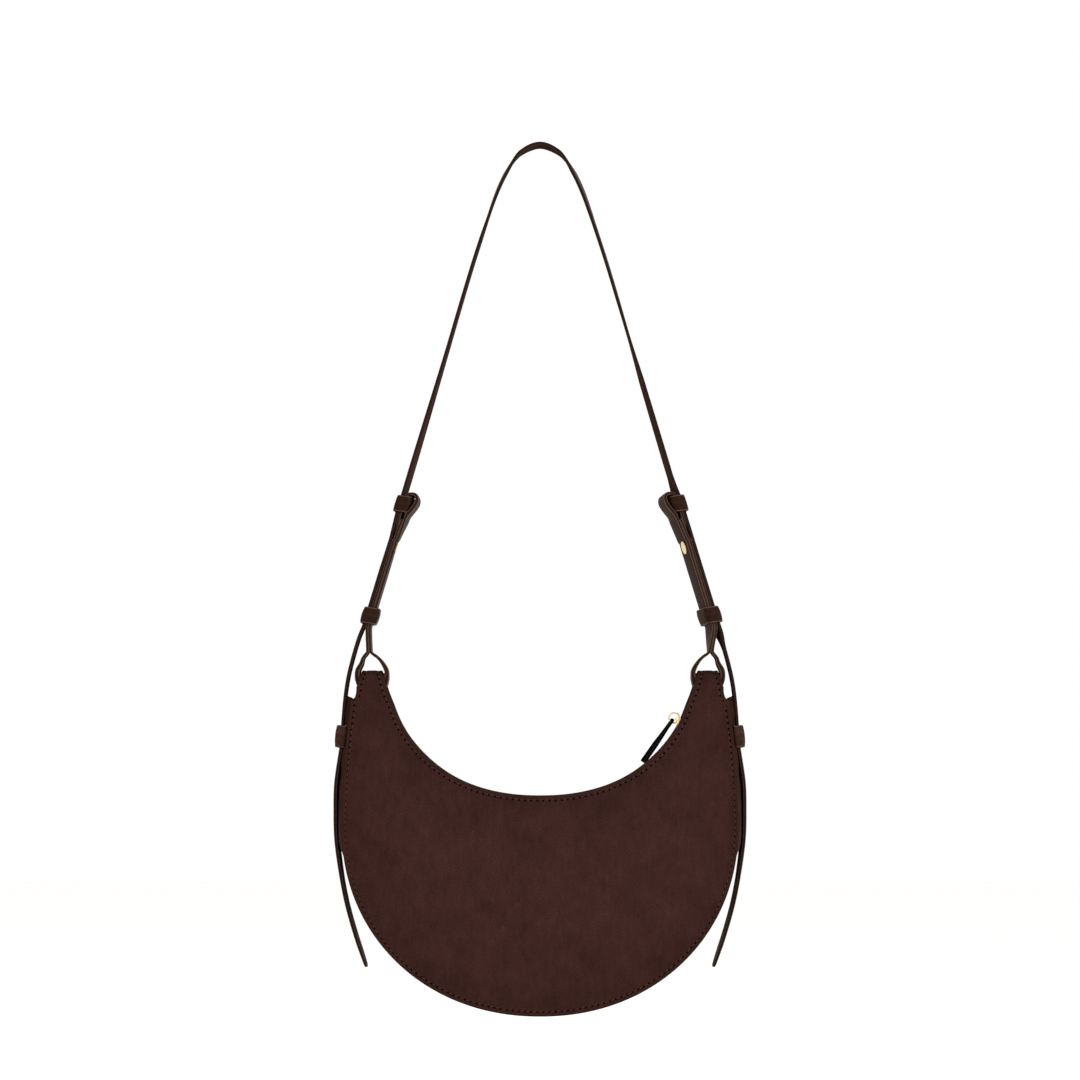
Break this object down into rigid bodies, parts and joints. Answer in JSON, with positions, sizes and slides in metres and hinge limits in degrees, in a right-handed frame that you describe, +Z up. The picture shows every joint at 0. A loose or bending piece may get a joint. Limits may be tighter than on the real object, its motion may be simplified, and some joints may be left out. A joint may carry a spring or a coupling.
{
  "type": "crossbody bag",
  "caption": "Crescent-shaped suede crossbody bag with leather side gusset, top zip with ring pull, and an adjustable leather shoulder strap pinned with metal studs.",
  "frame": {"origin": "underside of the shoulder strap's top, at its middle, where a shoulder or a hook carries the bag", "axes": "+Z up, -Y out of the front panel, +X to the right in the front view"},
  "size_m": [0.2652, 0.068, 0.56],
  "materials": {
    "suede": "dark plum-brown suede, matt and softly mottled",
    "strap_leather": "smooth dark brown leather, satin, with painted edges",
    "gusset_leather": "smooth dark brown leather, satin",
    "pull_leather": "near-black smooth leather with a painted edge",
    "lining_cloth": "plain dark brown lining cloth",
    "zip_tape_cloth": "woven dark brown zip tape",
    "gold_metal": "polished light gold"
  },
  "bodies": {
    "shoulder_strap": {"shoulder_strap": "strap_leather", "left_loop_strap": "strap_leather", "right_loop_strap": "strap_leather", "left_stud": "gold_metal", "right_stud": "gold_metal"},
    "bag": {"front_panel": "suede", "back_panel": "suede", "outer_gusset": "gusset_leather", "zip_strip_front": "gusset_leather", "zip_strip_back": "gusset_leather", "lining": "lining_cloth", "zip_tape_front": "zip_tape_cloth", "zip_tape_back": "zip_tape_cloth", "zip_teeth_front": "gold_metal", "zip_teeth_back": "gold_metal", "zip_top_stop_front": "gold_metal", "zip_top_stop_back": "gold_metal", "zip_bottom_stop": "gold_metal", "left_horn_tunnel": "gusset_leather", "right_horn_tunnel": "gusset_leather", "left_side_keeper": "strap_leather", "right_side_keeper": "strap_leather", "left_strap_run": "strap_leather", "right_strap_run": "strap_leather"},
    "slider": {"zip_slider": "gold_metal"},
    "pull_ring": {"zip_pull_ring": "gold_metal"},
    "pull_tab": {"zip_pull_tab": "pull_leather"},
    "left_tail": {"left_strap_tail": "strap_leather"},
    "right_tail": {"right_strap_tail": "strap_leather"},
    "left_upper_keeper": {"left_upper_keeper": "strap_leather"},
    "right_upper_keeper": {"right_upper_keeper": "strap_leather"},
    "left_lower_keeper": {"left_lower_keeper": "strap_leather"},
    "right_lower_keeper": {"right_lower_keeper": "strap_leather"}
  },
  "joints": [
    {"name": "bag_swing", "type": "hinge", "parent": "shoulder_strap", "child": "bag", "pos_m": [0, 0, -0.3483], "axis": [1, 0, 0], "range_deg": [-90, 90]},
    {"name": "zip_slide", "type": "hinge", "parent": "bag", "child": "slider", "pos_m": [0, 0, -0.3165], "axis": [0, 1, 0], "range_deg": [0, 108], "deforming": ["zip_tape_front", "zip_tape_back", "zip_teeth_front", "zip_teeth_back"]},
    {"name": "pull_ring_turn", "type": "hinge", "parent": "slider", "child": "pull_ring", "pos_m": [0.08757, 0, -0.36822], "axis": [0, 1, 0], "range_deg": [0, 40]},
    {"name": "pull_tab_turn", "type": "hinge", "parent": "pull_ring", "child": "pull_tab", "pos_m": [0.08623, 0, -0.36743], "axis": [0, 1, 0], "range_deg": [0, 100]},
    {"name": "left_tail_flex", "type": "hinge", "parent": "bag", "child": "left_tail", "pos_m": [-0.12782, 0, -0.38722], "axis": [0, 1, 0], "range_deg": [0, 60], "stiffness_Nm_per_rad": 0.004},
    {"name": "right_tail_flex", "type": "hinge", "parent": "bag", "child": "right_tail", "pos_m": [0.12782, 0, -0.38722], "axis": [0, -1, 0], "range_deg": [0, 60], "stiffness_Nm_per_rad": 0.004},
    {"name": "left_upper_keeper_slide", "type": "slide", "parent": "shoulder_strap", "child": "left_upper_keeper", "axis": [0.2924, 0, 0.9563], "range_m": [-0.004, 0.0008]},
    {"name": "left_lower_keeper_slide", "type": "slide", "parent": "shoulder_strap", "child": "left_lower_keeper", "axis": [0.2924, 0, 0.9563], "range_m": [-0.001, 0.03]},
    {"name": "right_upper_keeper_slide", "type": "slide", "parent": "shoulder_strap", "child": "right_upper_keeper", "axis": [-0.2924, 0, 0.9563], "range_m": [-0.004, 0.0008]},
    {"name": "right_lower_keeper_slide", "type": "slide", "parent": "shoulder_strap", "child": "right_lower_keeper", "axis": [-0.2924, 0, 0.9563], "range_m": [-0.001, 0.03]}
  ]
}
